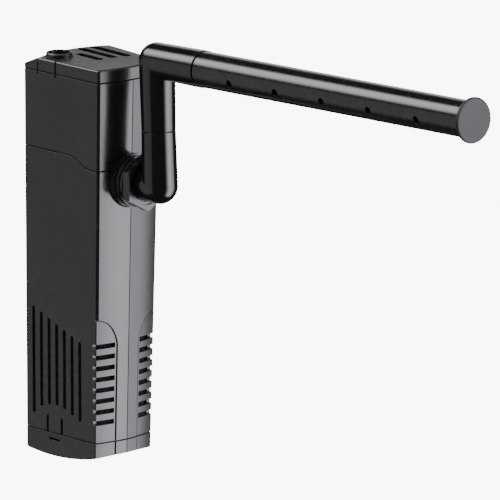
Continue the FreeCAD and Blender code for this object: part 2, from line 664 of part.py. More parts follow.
# ---------------------------------------------------------------- bottom cap
cap = shell(-6.0, cseam - D["seam_gap"], name="cap_outer")
cap_hollow = shell(1.8, cseam + 1, inset=w, rounded=False, name="cap_hollow")
cap_ring = cut(shell(1.7, 10.2, inset=w + 0.2, rounded=False, name="cap_ring"),
               shell(1.6, 11.0, inset=w + 1.4, rounded=False, name="cap_ring_hollow"),
               box(-30, -10, -1.4, 10.8, 1.8, 12))
Rf = D["foot_arc_r"]
fy0, fz0 = D["foot_low_y"], D["foot_low"]
span = 45.0
rise = Rf.val - math.sqrt(Rf.val ** 2 - span ** 2)
foot_sk = sketch("YZ", 0, 0, 0, [([(fy0 - span, fz0 + rise), (fy0 + span, fz0 + rise), (fy0 + span, fz0 - 20.0), (fy0 - span, fz0 - 20.0)],
                                 {0: (fy0, fz0 + Rf, False)})], name="foot")
foot = extrude(foot_sk, 40.0, 40.0, "foot")
cap_recess = front_recess(-6.0, 12.0, "cap")
cap_slot = box(-30, -15.9, 1.5, 8.3, 3.2, 4.4, name="latch_window")
cap_shadow = outside(box(-40, 40, -40, 40, cseam - D["shadow_w"], cseam + 1), cseam - 3, cseam + 2, D["shadow_d"], "cap_shadow")
bottom_cap = cut(fuse(cut(cap, cap_hollow, cap_shadow, crease_line(-5.5, cseam + 0.5, "cap_crease")), cap_ring), foot, *cap_recess, cap_slot,
                 name="bottom_cap")
finish(bottom_cap, "bottom_cap")

# ---------------------------------------------------------------- sponge and strainer tube
sponge = cut(shell(D["sponge_low"], D["sponge_high"], inset=2.5, rounded=False, name="sponge_block"),
             cyl(D["strainer_r"] + 0.1, 120, 0, 0, 0), name="filter_sponge")
finish(sponge, "filter_sponge")
tube = turned("strainer", [(D["strainer_bore_r"], D["sponge_low"]), (D["strainer_r"], D["sponge_low"]),
                           (D["strainer_r"], D["sponge_high"] + 1.2), (8.2, D["sponge_high"] + 1.2), (8.2, D["sponge_high"] + 2.6),
                           (D["strainer_r"], D["sponge_high"] + 2.6), (D["strainer_r"], 110.6), (D["strainer_bore_r"], 110.6)])
slots_x = body_sketch(tube, "XZ_Plane", [[(-1.1, 18.0 + 11.0 * i), (1.1, 18.0 + 11.0 * i), (1.1, 25.0 + 11.0 * i), (-1.1, 25.0 + 11.0 * i)] for i in range(7)])
pk = tube.newObject("PartDesign::Pocket", uid("strainer_slots"))
pk.Profile = slots_x
pk.Type = "Length"
pk.Length = 30
pk.Midplane = True
tube.Tip = pk
doc.recompute()
pp = tube.newObject("PartDesign::PolarPattern", uid("strainer_pattern"))
pp.Originals = [pk]
pp.Axis = (slots_x, ["V_Axis"])
pp.Angle = 360
pp.Occurrences = 4
tube.Tip = pp
finish(tube, "strainer_tube")

# ---------------------------------------------------------------- flow knob, spindle, shutter
kx, ky = D["knob_x"], D["knob_y"]
kt = D["knob_top"]
knob = turned("knob", [(D["spindle_rad"], 170.6), (3.2, 170.6), (3.2, 173.2), (D["knob_r_out"], 173.2), (D["knob_r_out"], kt - 0.35),
                       (D["knob_r_out"] - 0.35, kt), (4.95, kt), (4.65, kt - 2.6), (0.0, kt - 2.6), (0.0, 176.5), (D["spindle_rad"], 176.5)])
rib = body_sketch(knob, "XY_Plane", [[(-1.0, -4.7), (1.0, -4.7), (1.0, 4.7), (-1.0, 4.7)]], offset=kt - 2.8)
rp = knob.newObject("PartDesign::Pad", uid("grip"))
rp.Profile = rib
bind(rp, "Length", 1.1)
knob.Tip = rp
finish_at(knob, "flow_knob", kx, ky, 0.0)
spindle = turned("spindle", [(0.0, 111.9), (D["spindle_rad"], 111.9), (D["spindle_rad"], 176.4), (0.0, 176.4)])
finish_at(spindle, "valve_spindle", kx, ky, 0.0)
# shutter, open: its pad is clear of the eye; it closes when the knob turns 55 degrees
open_dir = math.atan2(-ky.val, -kx.val) + math.radians(55.0)
reach = math.hypot(kx.val, ky.val)
px, py = reach * math.cos(open_dir), reach * math.sin(open_dir)
arm = doc.addObject("Part::Box", uid("arm"))
arm.Length, arm.Width, arm.Height = reach, 4.0, 1.2
arm.Placement = Pl(V(2.0 * math.sin(open_dir), -2.0 * math.cos(open_dir), 111.9), Rot(V(0, 0, 1), math.degrees(open_dir)))
shutter = cut(fuse(cyl(3.4, 2.4, 0, 0, 111.9), arm, cyl(7.0, 1.2, px, py, 111.9)), cyl(D["spindle_rad"], 5, 0, 0, 111.0), name="shutter")
finish_at(shutter, "inlet_shutter", kx, ky, 0.0)

# ---------------------------------------------------------------- motor
cl, ch = D["core_low"], D["core_high"]
core_pts = [(-13.2, -19.4), (13.2, -19.4), (13.2, 6.6), (7.75, 6.6), (7.75, -14.0), (-7.75, -14.0), (-7.75, 6.6), (-13.2, 6.6)]
core_plate = extrude(sketch("XY", 0, 0, cl, [core_pts], name="lamination"), ch - cl)
core = cut(core_plate, cyl(D["well_wall_r"] + 0.15, 40, 0, 0, 140.0), name="stator_laminations")
finish(core, "stator_laminations")
# bobbin: a rectangular spool on the front yoke
bob_out = box(-7.4, 7.4, -20.6, -12.8, cl - 1.2, ch + 1.2)
bob_fl = [box(-7.4, -6.2, -21.9, -10.4, cl - 3.3, ch + 3.3), box(6.2, 7.4, -21.9, -10.4, cl - 3.3, ch + 3.3)]
bob_bore = box(-8, 8, -19.45, -13.95, cl - 0.05, ch + 0.05)
bobbin = cut(fuse(bob_out, *bob_fl), bob_bore, name="coil_bobbin")
finish(bobbin, "coil_bobbin")
wind = cut(box(-6.15, 6.15, -21.7, -10.6, cl - 3.1, ch + 3.1), box(-7, 7, -20.65, -12.75, cl - 1.25, ch + 1.25), name="coil_winding")
finish(wind, "coil_winding")
resin_block = shell(D["floor_top"] + 0.02, D["potting_top"], inset=w + 0.06, rounded=False, name="resin")
resin = cut(resin_block, cyl(D["well_wall_r"] + 0.02, 40, 0, 0, 139.0), cyl(3.02, 40, kx, ky, 139.0),
            box(-13.25, 13.25, -19.5, 6.65, cl - 0.05, ch + 0.05),
            box(-7.5, 7.5, -22.0, -10.3, cl - 3.4, ch + 3.4),
            cyl(D["holder_r"] + 0.1, 4, 0, D["half_depth"] - 3.0, D["cup_upper_z"], "Y"),
            cyl(6.1, 5, 17.5, D["gland_y"], D["gland_z"], "X"),
            cyl(4.1, 12.0, 12.9, D["gland_y"], D["gland_z"], "X"), name="potting_resin")
finish(resin, "potting_resin")
rl, rh = D["rotor_low"], D["rotor_high"]
magnet = turned("magnet", [(D["shaft_bore_r"], rl), (D["rotor_r"] - 0.4, rl), (D["rotor_r"], rl + 0.4), (D["rotor_r"], rh - 0.4),
                           (D["rotor_r"] - 0.4, rh), (D["shaft_bore_r"], rh)])
finish(magnet, "rotor_magnet")
imp = turned("impeller", [(D["shaft_bore_r"], 121.8), (2.9, 121.8), (2.9, 133.4), (D["impeller_r"], 133.4), (D["impeller_r"], 134.6),
                          (4.4, 134.6), (4.4, rl), (D["shaft_bore_r"], rl)])
bl = body_sketch(imp, "XY_Plane", [[(2.2, -D["blade_t"] / 2), (D["impeller_r"] - 0.3, -D["blade_t"] / 2), (D["impeller_r"] - 0.3, D["blade_t"] / 2), (2.2, D["blade_t"] / 2)]], offset=122.2)
blade = imp.newObject("PartDesign::Pad", uid("blade"))
blade.Profile = bl
bind(blade, "Length", 11.5)
imp.Tip = blade
doc.recompute()
ring = imp.newObject("PartDesign::PolarPattern", uid("blades"))
ring.Originals = [blade]
ring.Axis = (bl, ["N_Axis"])
ring.Angle = 360
ring.Occurrences = 6
ring.setExpression("Occurrences", "Dims.blade_count")
imp.Tip = ring
finish(imp, "impeller")
shaft = turned("shaft", [(0.0, 116.2), (D["shaft_r"], 116.2), (D["shaft_r"], 166.2), (0.0, 166.2)])
finish(shaft, "impeller_shaft")
rear_bush = turned("rear_bush", [(D["shaft_r"], 163.2), (D["well_r"] - 1.6, 163.2), (D["well_r"], 164.2), (D["well_r"], 166.8), (0.0, 166.8), (0.0, 166.2), (D["shaft_r"], 166.2)])
finish(rear_bush, "rear_shaft_bush")
front_bush = turned("front_bush", [(0.0, 115.6), (2.2, 115.6), (2.2, 120.6), (D["shaft_r"], 120.6), (D["shaft_r"], 116.2), (0.0, 116.2)])
finish(front_bush, "front_shaft_bush")
icl = D["chamber_low"]
cover_profile = [(6.5, 113.7), (8.0, 113.7), (8.0, 115.6), (D["chamber_wall_r"], 115.6), (D["chamber_wall_r"], icl), (D["chamber_r"] - 0.05, icl),
                 (D["chamber_r"] - 0.05, icl + 0.6), (11.25, icl + 0.6), (11.25, icl + 1.6), (D["chamber_r"] - 0.05, icl + 1.6),
                 (D["chamber_r"] - 0.05, icl + 2.4), (9.4, icl + 2.4), (9.4, icl), (6.5, icl)]
icov = turned("impeller_cover", cover_profile)
hub = body_sketch(icov, "XY_Plane", [[(-7.2, -0.8), (7.2, -0.8), (7.2, 0.8), (-7.2, 0.8)]], offset=115.6)
arm1 = icov.newObject("PartDesign::Pad", uid("arms"))
arm1.Profile = hub
bind(arm1, "Length", 2.0)
hub2 = body_sketch(icov, "XY_Plane", [[(-0.8, -7.2), (0.8, -7.2), (0.8, 7.2), (-0.8, 7.2)]], offset=115.6)
arm2 = icov.newObject("PartDesign::Pad", uid("arms"))
arm2.Profile = hub2
bind(arm2, "Length", 2.0)
cup = icov.newObject("PartDesign::AdditiveCylinder", uid("bush_cup"))
cup.Radius, cup.Height = 3.4, 4.2
cup.Placement = Pl(V(0, 0, 115.6), Rot())
bore = icov.newObject("PartDesign::SubtractiveCylinder", uid("bush_bore"))
bore.Radius, bore.Height = 2.2, 8.0
bore.Placement = Pl(V(0, 0, 114.0), Rot())
icov.Tip = bore
finish(icov, "impeller_cover")
oring = doc.addObject("Part::Torus", uid("o_ring"))
bind(oring, "Radius1", 11.74)
bind(oring, "Radius2", 0.44)
oring.Label = "cover_o_ring"
finish_at(oring, "cover_o_ring", 0.0, 0.0, icl + 1.1)

# ---------------------------------------------------------------- cable gland
g0 = D["gland_bore_r"]
gland = turned("gland", [(g0, 0.0), (4.0, 0.0), (4.0, 8.85), (5.3, 8.85), (5.3, 10.4), (4.2, 10.9), (3.5, 17.5), (3.2, 17.8), (g0, 17.8)])
finish_at(gland, "cable_gland", 13.0, D["gland_y"], D["gland_z"], Rot(V(0, 1, 0), 90))

# ---------------------------------------------------------------- suction cups (pressed flat on the glass)
gg = D["glass_gap"]
for label, zc in (("upper_suction_cup", D["cup_upper_z"]), ("lower_suction_cup", D["cup_lower_z"])):
    nk = D["cup_neck_r"]
    prof = [(0.0, 0.0), (D["cup_r"], 0.0), (D["cup_r"], 0.55), (7.5, 1.5), (4.6, 3.0), (3.9, 4.6), (3.9, 5.1), (nk, 5.1), (nk, 7.25), (3.5, 7.25), (3.1, 8.9), (0.0, 8.9)]
    sc = turned("suction_cup", prof)
    finish_at(sc, label, 0.0, D["half_depth"] + gg, zc, Rot(V(1, 0, 0), 90))

# ---------------------------------------------------------------- outlet: seal, collar, nut
sp = D["spigot_r"]
o = on_outlet(0.0)
sb = sp + 0.02
seal = turned("outlet_seal", [(sb, 1.0), (10.5, 1.0), (10.5, 2.2), (sb, 2.2)])
finish_at(seal, "outlet_seal", *o, AXIS_OUT)
cr = D["collar_r"]
collar = turned("outlet_collar", [(sb, 2.2), (cr - 0.3, 2.2), (cr, 2.5), (cr, 3.3), (cr - 0.8, 3.6), (cr - 0.8, 4.0), (cr, 4.3), (cr, 5.3), (cr - 0.3, 5.6), (sb, 5.6)])
finish_at(collar, "outlet_collar", *o, AXIS_OUT)
nut = body("union_nut")
fl = D["nut_flats"]
t3 = 1.0 / math.sqrt(3.0)
hexa = body_sketch(nut, "XY_Plane", [[(fl, fl * t3), (0.0, fl * (2 * t3)), (-fl, fl * t3), (-fl, -fl * t3), (0.0, -fl * (2 * t3)), (fl, -fl * t3)]], offset=6.0)
np_ = nut.newObject("PartDesign::Pad", uid("hexagon"))
np_.Profile = hexa
bind(np_, "Length", 4.2)
trim = nut.newObject("PartDesign::SubtractiveCylinder", uid("nut_bore"))
bind(trim, "Radius", sp + 0.1)
trim.Height = 2.8
trim.Placement = Pl(V(0, 0, 5.99), Rot())
lipb = nut.newObject("PartDesign::SubtractiveCylinder", uid("nut_lip"))
bind(lipb, "Radius", 8.3)
lipb.Height = 8
lipb.Placement = Pl(V(0, 0, 4), Rot())
rimb = nut.newObject("PartDesign::SubtractiveCylinder", uid("nut_face_recess"))
bind(rimb, "Radius", 9.6)
rimb.Height = 2
rimb.Placement = Pl(V(0, 0, 9.35), Rot())
nut.Tip = rimb
finish_at(nut, "outlet_nut", *o, AXIS_OUT)

# ---------------------------------------------------------------- elbows, bar and end cap
er, en, sk_r, pr, eb = D["elbow_r"], D["elbow_neck_r"], D["socket_r"], D["plug_r"], D["elbow_bore_r"]
s_in = D["elbow_reach"] / QCT        # elbow centre from the crease line, along the axis
back = s_in - 8.1                    # back end of the lower elbow's level arm
split = D["elbow_split"]
ball = doc.addObject("Part::Sphere", uid("corner"))
bind(ball, "Radius", er)
level_arm = cyl(er, back - 0.6, 0, 0, 0, "Y", name="level_arm")
flange = cyl(9.0, 0.6, 0, back - 0.6, 0, "Y", name="flange")
up_arm = cone(er, en, split - D["pipe_gap"], 0, 0, 0, name="up_arm")
inner = doc.addObject("Part::Sphere", uid("corner_bore"))
bind(inner, "Radius", sk_r)
low_elbow = cut(fuse(ball, level_arm, flange, up_arm), inner, cyl(sk_r, 20, 0, 0, 0, "Y"), cyl(sk_r, 40, 0, 0, 0), name="lower_elbow")
finish_at(low_elbow, "lower_elbow", *E1, GROUP)
# upper elbow, about its own corner
rh2 = D["riser_height"] - split
ball2 = doc.addObject("Part::Sphere", uid("corner"))
bind(ball2, "Radius", er)
down_arm = cone(en, er, rh2, 0, 0, -rh2, name="down_arm")
down_plug = cyl(pr, 12.0, 0, 0, -rh2 - 12.0, name="down_plug")
arm_fwd = cone(er, D["sleeve_r"], D["sleeve_len"], 0, 0, 0, "-Y", name="forward_arm")
fwd_plug = cyl(D["bar_plug_r"], 12.0, 0, -D["sleeve_len"], 0, "-Y", name="forward_plug")
inner2 = doc.addObject("Part::Sphere", uid("corner_bore"))
bind(inner2, "Radius", eb)
up_elbow = cut(fuse(ball2, down_arm, down_plug, arm_fwd, fwd_plug), inner2, cyl(eb, 60, 0, 0, -60, "Z"), cyl(eb, 60, 0, 0, 0, "-Y"), name="upper_elbow")
finish_at(up_elbow, "upper_elbow", *E2, GROUP)
s0, be = D["sleeve_len"] + D["pipe_gap"], D["bar_end"]
br, bb = D["bar_r"], D["bar_bore_r"]
bar = body("spray_bar")
bsk = body_sketch(bar, "XZ_Plane", [[(bb, s0 + 0.3), (bb + 0.3, s0), (br - 0.25, s0), (br, s0 + 0.25), (br, be - 0.15), (br - 0.15, be), (bb, be)]])
rev = bar.newObject("PartDesign::Revolution", uid("tube"))
rev.Profile = bsk
rev.ReferenceAxis = (bsk, ["V_Axis"])
rev.Angle = 360
bar.Tip = rev
doc.recompute()
# jets: a row of drilled holes, on the side away from +X and below level
jet = bar.newObject("PartDesign::SubtractiveCylinder", uid("jet"))
bind(jet, "Radius", D["jet_r"])
jet.Height = 12
jr = Rot(V(0, 0, 1), 180.0 + D["jet_angle"].val).multiply(Rot(V(0, 1, 0), 90))
jet.Placement = Pl(V(0, 0, D["jet_first"].val), jr)
jet.setExpression("Placement.Base.z", "Dims.jet_first")
bar.Tip = jet
doc.recompute()
row = bar.newObject("PartDesign::LinearPattern", uid("jets"))
row.Originals = [jet]
row.Direction = (bsk, ["V_Axis"])
bind(row, "Length", D["jet_pitch"] * 4)
row.Occurrences = 5
bar.Tip = row
BAR_AXIS = Rot(V(1, 0, 0), 90 - TILT.val)
finish_at(bar, "spray_bar", *E2, BAR_AXIS)
ec, et = D["end_cap_r"], D["end_cap_t"]
endcap = turned("end_cap", [(4.9, be - 9.0), (bb - 0.35, be - 9.0), (bb - 0.06, be - 8.0), (bb - 0.06, be), (ec, be), (ec, be + et - 0.7), (ec - 0.2, be + et - 0.25), (ec - 0.7, be + et),
                            (0.0, be + et), (0.0, be + 0.0), (4.9, be + 0.0)])
finish_at(endcap, "bar_end_cap", *E2, BAR_AXIS)

doc.recompute()

# ---------------------------------------------------------------- checks and export
bad = []
for ob in doc.Objects:
    if any(s in ("Invalid", "Error") for s in ob.State):
        bad.append((ob.Name, ob.State))
if bad:
    raise RuntimeError("failed objects: %s" % bad)
for label, ob in finished:
    sh = ob.Shape
    if sh.isNull() or not sh.isValid() or sh.Volume <= 0 or not sh.Solids:
        raise RuntimeError("bad shape: %s" % label)
for label, ob in finished:
    sh = ob.Shape
    print("%-20s solids %d  volume %9.1f  box %s" % (label, len(sh.Solids), sh.Volume,
          " ".join("%.1f" % v for v in (sh.BoundBox.XMin, sh.BoundBox.XMax, sh.BoundBox.YMin, sh.BoundBox.YMax, sh.BoundBox.ZMin, sh.BoundBox.ZMax))))
    sh.exportStep("parts/%s.step" % label)
print("elbow centres, pump frame:", [round(q.val, 3) for q in E1], [round(q.val, 3) for q in E2])
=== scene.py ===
# Internal power filter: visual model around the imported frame.  All lengths in metres.
import math
import bpy
import bmesh
from mathutils import Vector, Matrix, noise


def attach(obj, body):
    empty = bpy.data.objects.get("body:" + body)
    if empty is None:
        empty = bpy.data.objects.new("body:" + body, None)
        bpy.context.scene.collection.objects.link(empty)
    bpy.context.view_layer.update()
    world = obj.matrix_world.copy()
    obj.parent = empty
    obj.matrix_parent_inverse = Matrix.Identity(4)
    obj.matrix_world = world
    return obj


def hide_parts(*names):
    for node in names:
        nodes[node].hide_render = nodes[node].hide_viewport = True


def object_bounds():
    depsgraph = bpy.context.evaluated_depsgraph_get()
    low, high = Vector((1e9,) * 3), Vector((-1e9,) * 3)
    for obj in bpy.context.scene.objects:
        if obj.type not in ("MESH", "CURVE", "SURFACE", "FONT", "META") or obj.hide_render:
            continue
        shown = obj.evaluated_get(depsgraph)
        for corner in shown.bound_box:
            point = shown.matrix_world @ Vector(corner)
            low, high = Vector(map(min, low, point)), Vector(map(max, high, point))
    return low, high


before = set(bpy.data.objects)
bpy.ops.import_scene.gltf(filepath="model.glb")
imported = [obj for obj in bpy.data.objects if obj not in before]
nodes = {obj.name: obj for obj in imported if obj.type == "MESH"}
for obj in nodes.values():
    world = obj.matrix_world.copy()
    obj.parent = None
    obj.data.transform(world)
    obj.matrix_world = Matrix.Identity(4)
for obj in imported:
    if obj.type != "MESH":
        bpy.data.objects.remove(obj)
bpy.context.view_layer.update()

scene = bpy.context.scene


# ------------------------------------------------------------------ camera
A, E, ROLL = math.radians(41.977), math.radians(14.071), math.radians(0.540)
FOCAL_PX, DIST = 7082.7335, 3144.7335
AIM = Vector((40.00876, -60.0, 94.54264))
OFFSET = Vector((0.0, -32.5, -155.0))
back = Vector((-math.sin(A) * math.cos(E), -math.cos(A) * math.cos(E), math.sin(E)))
right = Vector((math.cos(A), -math.sin(A), 0.0))
up = back.cross(right)
r2 = math.cos(ROLL) * right + math.sin(ROLL) * up
u2 = -math.sin(ROLL) * right + math.cos(ROLL) * up
cam_data = bpy.data.cameras.new("camera")
cam = bpy.data.objects.new("camera", cam_data)
scene.collection.objects.link(cam)
loc = (AIM + back * DIST + OFFSET) / 1000.0
m = Matrix((r2, u2, back)).transposed().to_4x4()
m.translation = loc
cam.matrix_world = m
cam_data.sensor_width = 36.0
cam_data.lens = FOCAL_PX * 36.0 / 500.0
cam_data.clip_start, cam_data.clip_end = 0.05, 60.0
cam_data.dof.use_dof = False
scene.camera = cam


# ------------------------------------------------------------------ node helpers
class Tree:
    """Small helper that makes and wires shader nodes."""

    def __init__(self, tree):
        self.t = tree
        tree.nodes.clear()

    def add(self, kind, **props):
        n = self.t.nodes.new(kind)
        for k, v in props.items():
            setattr(n, k, v)
        return n

    def link(self, a, b):
        self.t.links.new(a, b)

    def put(self, socket, v):
        if isinstance(v, bpy.types.NodeSocket):
            self.link(v, socket)
        else:
            socket.default_value = v

    def math(self, op, a, b=None, c=None, clamp=False):
        n = self.add("ShaderNodeMath", operation=op, use_clamp=clamp)
        self.put(n.inputs[0], a)
        if b is not None:
            self.put(n.inputs[1], b)
        if c is not None:
            self.put(n.inputs[2], c)
        return n.outputs[0]

    def smooth(self, v, lo, hi, a=0.0, b=1.0):
        n = self.add("ShaderNodeMapRange", interpolation_type="SMOOTHSTEP")
        self.put(n.inputs["Value"], v)
        n.inputs["From Min"].default_value = lo
        n.inputs["From Max"].default_value = hi
        n.inputs["To Min"].default_value = a
        n.inputs["To Max"].default_value = b
        return n.outputs["Result"]

    def noise(self, coord, scale, detail=2.0, rough=0.5):
        n = self.add("ShaderNodeTexNoise")
        self.put(n.inputs["Vector"], coord)
        n.inputs["Scale"].default_value = scale
        n.inputs["Detail"].default_value = detail
        n.inputs["Roughness"].default_value = rough
        return n.outputs["Fac"]

    def bump(self, height, strength, distance, normal=None):
        n = self.add("ShaderNodeBump")
        n.inputs["Strength"].default_value = strength
        n.inputs["Distance"].default_value = distance
        self.put(n.inputs["Height"], height)
        if normal is not None:
            self.put(n.inputs["Normal"], normal)
        return n.outputs["Normal"]

    def ramp(self, fac, stops):
        n = self.add("ShaderNodeValToRGB")
        el = n.color_ramp.elements
        while len(el) > 1:
            el.remove(el[-1])
        el[0].position, el[0].color = stops[0][0], (*stops[0][1], 1.0)
        for p, c in stops[1:]:
            e = el.new(p)
            e.color = (*c, 1.0)
        self.put(n.inputs["Fac"], fac)
        return n.outputs["Color"]

    def mix(self, fac, a, b):
        n = self.add("ShaderNodeMix", data_type="RGBA")
        self.put(n.inputs[0], fac)
        self.put(n.inputs[6], (*a, 1.0) if isinstance(a, tuple) else a)
        self.put(n.inputs[7], (*b, 1.0) if isinstance(b, tuple) else b)
        return n.outputs[2]


# ------------------------------------------------------------------ studio light
world = bpy.data.worlds.new("studio")
scene.world = world
world.use_nodes = True
w = Tree(world.node_tree)
co = w.add("ShaderNodeTexCoord").outputs["Generated"]


def dot(vec):
    n = w.add("ShaderNodeVectorMath", operation="DOT_PRODUCT")
    w.link(co, n.inputs[0])
    n.inputs[1].default_value = vec
    return n.outputs["Value"]


ahead = dot((-math.sin(A), -math.cos(A), 0.0))
side = dot((math.cos(A), -math.sin(A), 0.0))
high = dot((0.0, 0.0, 1.0))
turn = w.math("MULTIPLY", w.math("ARCTAN2", side, ahead), 180.0 / math.pi)
rise = w.math("MULTIPLY", w.math("ARCSINE", high), 180.0 / math.pi)


def softbox(t0, t1, t2, t3, e0, e1, e2, e3, level):
    """A soft edged panel: fades in from t0 to t1 and out from t2 to t3 around the object, and from e0 to e3 in height."""
    a = w.math("MULTIPLY", w.smooth(turn, t0, t1), w.smooth(turn, t2, t3, 1.0, 0.0))
    b = w.math("MULTIPLY", w.smooth(rise, e0, e1), w.smooth(rise, e2, e3, 1.0, 0.0))
    return w.math("MULTIPLY", w.math("MULTIPLY", a, b), level)


panels = [
    softbox(37, 68, 75, 88, -60, -40, 30, 50, 4.3),
    softbox(37, 68, 94, 111, -60, -40, 30, 50, 5.3),
    softbox(-137, -117, -60, -45, 15, 30, 55, 72, 8.2),
    softbox(-128, -92, -55, -44, -46, -30, 8, 16, 0.66),
    softbox(-181, -180, 180, 181, 52, 75, 91, 92, 1.3),
    softbox(-182, -181, -172, -154, -6, 6, 18, 30, 1.3),
    softbox(154, 172, 181, 182, -6, 6, 18, 30, 1.3),
]
total = w.math("ADD", panels[0], panels[1])
for p in panels[2:]:
    total = w.math("ADD", total, p)
total = w.math("ADD", total, 0.03)
path = w.add("ShaderNodeLightPath")
gloss = w.add("ShaderNodeBackground")
w.link(w.mix(w.smooth(turn, 5, 35), (1.0, 1.0, 1.0), (0.972, 0.955, 1.03)), gloss.inputs["Color"])
w.link(total, gloss.inputs["Strength"])
soft = w.add("ShaderNodeBackground")
soft.inputs["Color"].default_value = (1, 1, 1, 1)
soft.inputs["Strength"].default_value = 1.95
pale = w.add("ShaderNodeBackground")
pale.inputs["Color"].default_value = (0.96, 0.96, 0.96, 1)
pale.inputs["Strength"].default_value = 9.2
mix1 = w.add("ShaderNodeMixShader")
w.link(path.outputs["Is Glossy Ray"], mix1.inputs[0])
w.link(soft.outputs[0], mix1.inputs[1])
w.link(gloss.outputs[0], mix1.inputs[2])
mix2 = w.add("ShaderNodeMixShader")
w.link(path.outputs["Is Camera Ray"], mix2.inputs[0])
w.link(mix1.outputs[0], mix2.inputs[1])
w.link(pale.outputs[0], mix2.inputs[2])
out = w.add("ShaderNodeOutputWorld")
w.link(mix2.outputs[0], out.inputs["Surface"])

key = bpy.data.lights.new("overhead", "AREA")
key.shape = "DISK"
key.size = 1.6
key.energy = 24.0
key_o = bpy.data.objects.new("overhead", key)
scene.collection.objects.link(key_o)
key_o.location = (-0.5, -0.2, 1.9)
key_o.rotation_euler = (Vector((0, -0.1, 0)) - key_o.location).to_track_quat("-Z", "Y").to_euler()
key_o.visible_camera = False
key_o.visible_glossy = False

lo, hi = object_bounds()
bm = bmesh.new()
rings, turns = 24, 96
prev = None
for i in range(rings + 1):
    r = 0.02 * (30.0 / 0.02) ** (i / rings)
    ring = [bm.verts.new((r * math.cos(2 * math.pi * k / turns), r * math.sin(2 * math.pi * k / turns), 0.0)) for k in range(turns)]
    if prev:
        for k in range(turns):
            bm.faces.new((prev[k], ring[k], ring[(k + 1) % turns], prev[(k + 1) % turns]))
    else:
        bm.faces.new(ring)
    prev = ring
me = bpy.data.meshes.new("floor")
bm.normal_update()
bm.to_mesh(me)
bm.free()
floor = bpy.data.objects.new("floor", me)
scene.collection.objects.link(floor)
# far enough below that the canister and its cap can be drawn down without meeting it
floor.location = (0.0, -0.1, lo.z - 0.16)
floor.visible_glossy = False
floor.visible_diffuse = False
floor.visible_shadow = False
fm = bpy.data.materials.new("floor_paper")
fm.use_nodes = True
fm.cycles.emission_sampling = "NONE"
ft = Tree(fm.node_tree)
fb = ft.add("ShaderNodeBsdfPrincipled")
fb.inputs["Base Color"].default_value = (0.93, 0.93, 0.93, 1)
fb.inputs["Roughness"].default_value = 0.9
fb.inputs["Specular IOR Level"].default_value = 0.1
fb.inputs["Emission Color"].default_value = (1, 1, 1, 1)
fb.inputs["Emission Strength"].default_value = 7.0
fo = ft.add("ShaderNodeOutputMaterial")
ft.link(fb.outputs[0], fo.inputs["Surface"])
floor.data.materials.append(fm)


